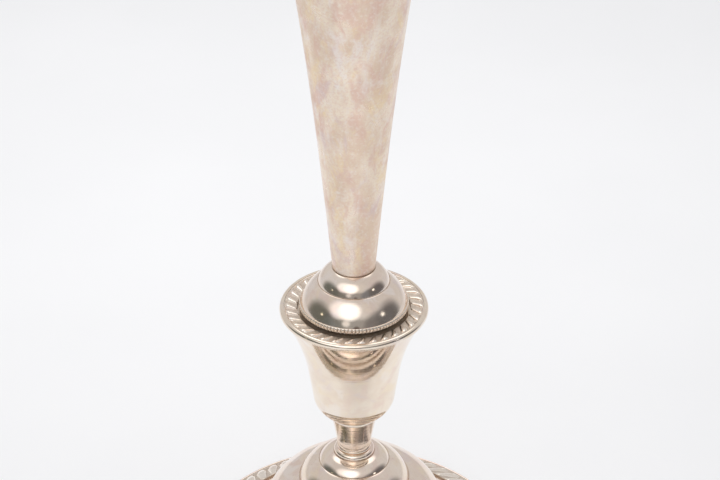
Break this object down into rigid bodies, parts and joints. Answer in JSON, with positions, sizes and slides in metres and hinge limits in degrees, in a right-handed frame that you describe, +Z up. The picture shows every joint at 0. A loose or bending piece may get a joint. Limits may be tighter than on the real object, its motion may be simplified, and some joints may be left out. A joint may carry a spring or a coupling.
{
  "type": "candlestick",
  "caption": "Tall two-stage silver candlestick: weighted round foot, bell cup with gadrooned nozzle, plug-in trumpet column and a candle nozzle on top.",
  "frame": {"origin": "middle of the felt pad's underside, on the table", "axes": "+Z up along the axis of revolution; +X and +Y are free, because the candlestick is round"},
  "size_m": [0.154, 0.154, 0.3294],
  "materials": {
    "silver_satin": "satin silver plate with mottled warm tarnish",
    "silver_mirror": "mirror-polished silver plate",
    "silver_cup": "polished silver plate, champagne tarnish",
    "silver_ornament": "cast and chased silver, dark in the hollows",
    "silver_inner": "unpolished plated tube",
    "steel": "plain drawn steel, oiled",
    "pitch": "cast pitch and plaster weighting",
    "felt": "green baize, pressed wool"
  },
  "bodies": {
    "foot": {"felt_pad": "felt", "base_plate": "steel", "ballast": "pitch", "tie_rod": "steel", "tie_washer": "steel", "tie_nut": "steel", "foot_shell": "silver_mirror", "foot_gadroon": "silver_ornament", "foot_lip": "silver_mirror", "lower_dome": "silver_mirror", "upper_dome": "silver_mirror", "neck_bead": "silver_mirror", "neck": "silver_cup", "neck_collet": "silver_cup", "cup_shell": "silver_cup", "cup_nut": "steel", "cup_socket": "silver_inner"},
    "lower_nozzle": {"lower_nozzle_sleeve": "silver_inner", "lower_nozzle_pan": "silver_cup", "lower_gadroon": "silver_ornament", "lower_rim_wire": "silver_cup"},
    "column": {"plug_tube": "silver_inner", "plug_cap": "silver_inner", "collar_seat": "silver_inner", "collar_edge": "silver_ornament", "collar_dome": "silver_mirror", "collar_cap": "silver_mirror", "column_shell": "silver_satin", "column_rod": "steel", "column_bridge": "steel", "column_washer": "steel", "column_nut": "steel", "column_socket": "silver_inner", "mouth_ring": "silver_satin"},
    "upper_nozzle": {"upper_nozzle_sleeve": "silver_inner", "upper_nozzle_pan": "silver_cup", "upper_gadroon": "silver_ornament", "upper_rim_wire": "silver_cup"}
  },
  "joints": [
    {"name": "lower_nozzle_lift", "type": "slide", "parent": "foot", "child": "lower_nozzle", "axis": [0, 0, 1], "range_m": [0, 0.035]},
    {"name": "column_lift", "type": "slide", "parent": "lower_nozzle", "child": "column", "axis": [0, 0, 1], "range_m": [0, 0.03]},
    {"name": "upper_nozzle_lift", "type": "slide", "parent": "column", "child": "upper_nozzle", "axis": [0, 0, 1], "range_m": [0, 0.035]}
  ]
}
